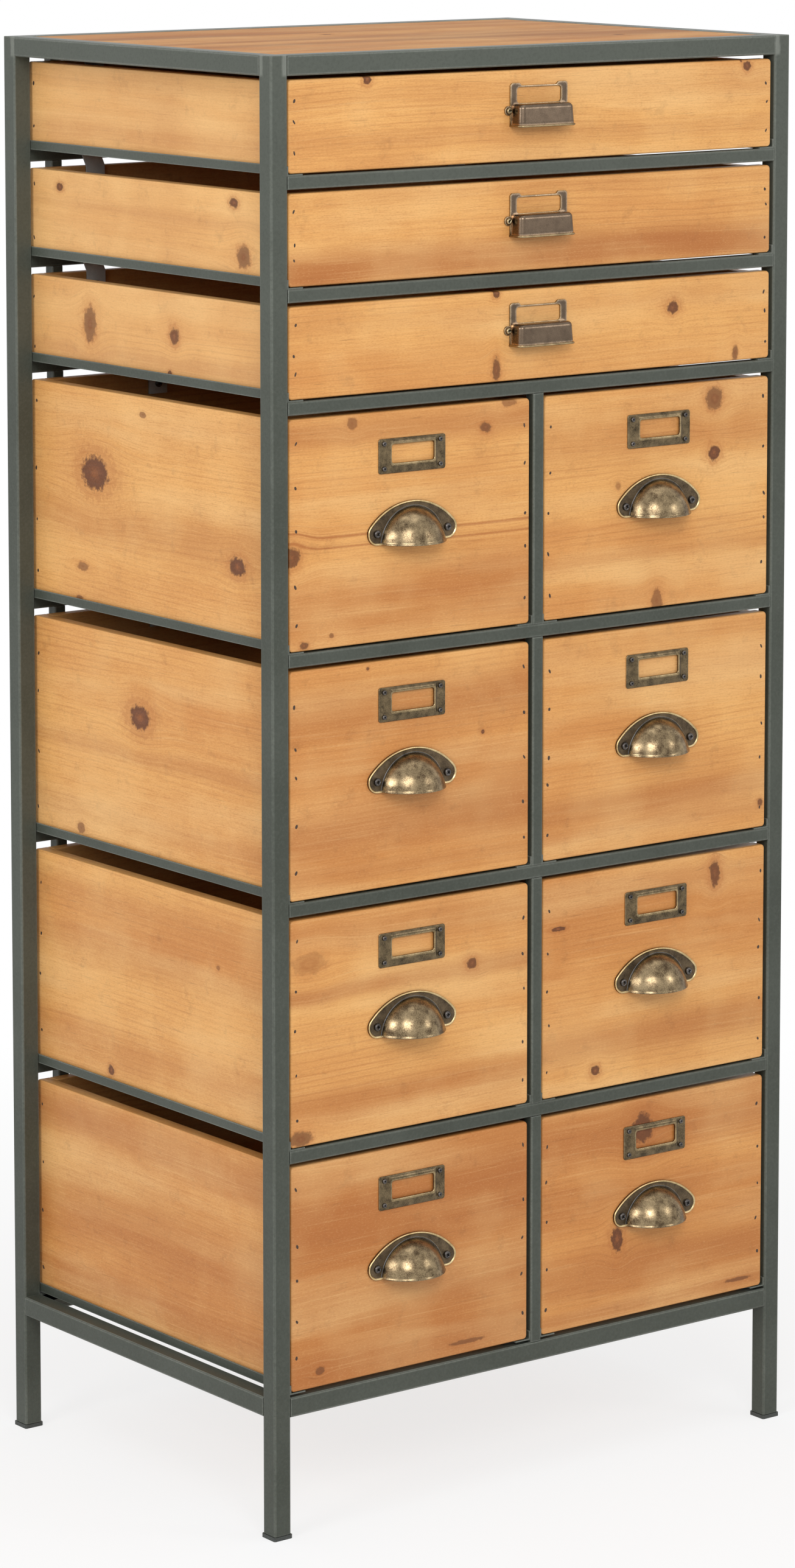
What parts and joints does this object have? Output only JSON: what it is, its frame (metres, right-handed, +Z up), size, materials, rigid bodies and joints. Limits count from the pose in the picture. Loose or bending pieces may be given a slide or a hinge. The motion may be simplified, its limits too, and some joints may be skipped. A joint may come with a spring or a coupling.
{
  "type": "chest of drawers",
  "caption": "Tall chest of drawers in a welded square-tube steel frame: wide shallow wooden drawers over pairs of deep ones, with cup pulls and label holders.",
  "frame": {"origin": "on the floor under the middle of the whole chest, pulls included", "axes": "+Z up, drawers open along -Y, +X to the right of someone who faces the drawers"},
  "size_m": [0.4966, 0.3728, 1.1],
  "materials": {
    "painted_steel": "satin grey-green paint",
    "pine": "honey-stained, waxed",
    "antique_brass": "antiqued, worn at the rim",
    "antique_bronze": "dark antiqued",
    "dark_steel": "darkened steel",
    "black_plastic": "matte"
  },
  "bodies": {
    "frame": {"corner_posts": "painted_steel", "foot_caps": "black_plastic", "top_rails": "painted_steel", "bottom_rails": "painted_steel", "top_panel": "pine", "front_rails": "painted_steel", "rear_rails": "painted_steel", "drawer_runners": "painted_steel"},
    "wide_drawer_1": {"wide_drawer_1_front": "pine", "wide_drawer_1_box": "pine", "wide_drawer_1_label_pull": "antique_bronze", "wide_drawer_1_screws_and_stops": "dark_steel"},
    "wide_drawer_2": {"wide_drawer_2_front": "pine", "wide_drawer_2_box": "pine", "wide_drawer_2_label_pull": "antique_bronze", "wide_drawer_2_screws_and_stops": "dark_steel"},
    "wide_drawer_3": {"wide_drawer_3_front": "pine", "wide_drawer_3_box": "pine", "wide_drawer_3_label_pull": "antique_bronze", "wide_drawer_3_screws_and_stops": "dark_steel"},
    "left_drawer_1": {"left_drawer_1_front": "pine", "left_drawer_1_box": "pine", "left_drawer_1_cup_pull": "antique_brass", "left_drawer_1_label_holder": "antique_bronze", "left_drawer_1_screws_and_stop": "dark_steel"},
    "left_drawer_2": {"left_drawer_2_front": "pine", "left_drawer_2_box": "pine", "left_drawer_2_cup_pull": "antique_brass", "left_drawer_2_label_holder": "antique_bronze", "left_drawer_2_screws_and_stop": "dark_steel"},
    "left_drawer_3": {"left_drawer_3_front": "pine", "left_drawer_3_box": "pine", "left_drawer_3_cup_pull": "antique_brass", "left_drawer_3_label_holder": "antique_bronze", "left_drawer_3_screws_and_stop": "dark_steel"},
    "left_drawer_4": {"left_drawer_4_front": "pine", "left_drawer_4_box": "pine", "left_drawer_4_cup_pull": "antique_brass", "left_drawer_4_label_holder": "antique_bronze", "left_drawer_4_screws_and_stop": "dark_steel"},
    "right_drawer_1": {"right_drawer_1_front": "pine", "right_drawer_1_box": "pine", "right_drawer_1_cup_pull": "antique_brass", "right_drawer_1_label_holder": "antique_bronze", "right_drawer_1_screws_and_stop": "dark_steel"},
    "right_drawer_2": {"right_drawer_2_front": "pine", "right_drawer_2_box": "pine", "right_drawer_2_cup_pull": "antique_brass", "right_drawer_2_label_holder": "antique_bronze", "right_drawer_2_screws_and_stop": "dark_steel"},
    "right_drawer_3": {"right_drawer_3_front": "pine", "right_drawer_3_box": "pine", "right_drawer_3_cup_pull": "antique_brass", "right_drawer_3_label_holder": "antique_bronze", "right_drawer_3_screws_and_stop": "dark_steel"},
    "right_drawer_4": {"right_drawer_4_front": "pine", "right_drawer_4_box": "pine", "right_drawer_4_cup_pull": "antique_brass", "right_drawer_4_label_holder": "antique_bronze", "right_drawer_4_screws_and_stop": "dark_steel"}
  },
  "joints": [
    {"name": "wide_drawer_1_slide", "type": "slide", "parent": "frame", "child": "wide_drawer_1", "axis": [0, -1, 0], "range_m": [0, 0.315]},
    {"name": "wide_drawer_2_slide", "type": "slide", "parent": "frame", "child": "wide_drawer_2", "axis": [0, -1, 0], "range_m": [0, 0.32]},
    {"name": "wide_drawer_3_slide", "type": "slide", "parent": "frame", "child": "wide_drawer_3", "axis": [0, -1, 0], "range_m": [0, 0.32]},
    {"name": "left_drawer_1_slide", "type": "slide", "parent": "frame", "child": "left_drawer_1", "axis": [0, -1, 0], "range_m": [0, 0.32]},
    {"name": "left_drawer_2_slide", "type": "slide", "parent": "frame", "child": "left_drawer_2", "axis": [0, -1, 0], "range_m": [0, 0.32]},
    {"name": "left_drawer_3_slide", "type": "slide", "parent": "frame", "child": "left_drawer_3", "axis": [0, -1, 0], "range_m": [0, 0.32]},
    {"name": "left_drawer_4_slide", "type": "slide", "parent": "frame", "child": "left_drawer_4", "axis": [0, -1, 0], "range_m": [0, 0.32]},
    {"name": "right_drawer_1_slide", "type": "slide", "parent": "frame", "child": "right_drawer_1", "axis": [0, -1, 0], "range_m": [0, 0.32]},
    {"name": "right_drawer_2_slide", "type": "slide", "parent": "frame", "child": "right_drawer_2", "axis": [0, -1, 0], "range_m": [0, 0.32]},
    {"name": "right_drawer_3_slide", "type": "slide", "parent": "frame", "child": "right_drawer_3", "axis": [0, -1, 0], "range_m": [0, 0.32]},
    {"name": "right_drawer_4_slide", "type": "slide", "parent": "frame", "child": "right_drawer_4", "axis": [0, -1, 0], "range_m": [0, 0.32]}
  ]
}
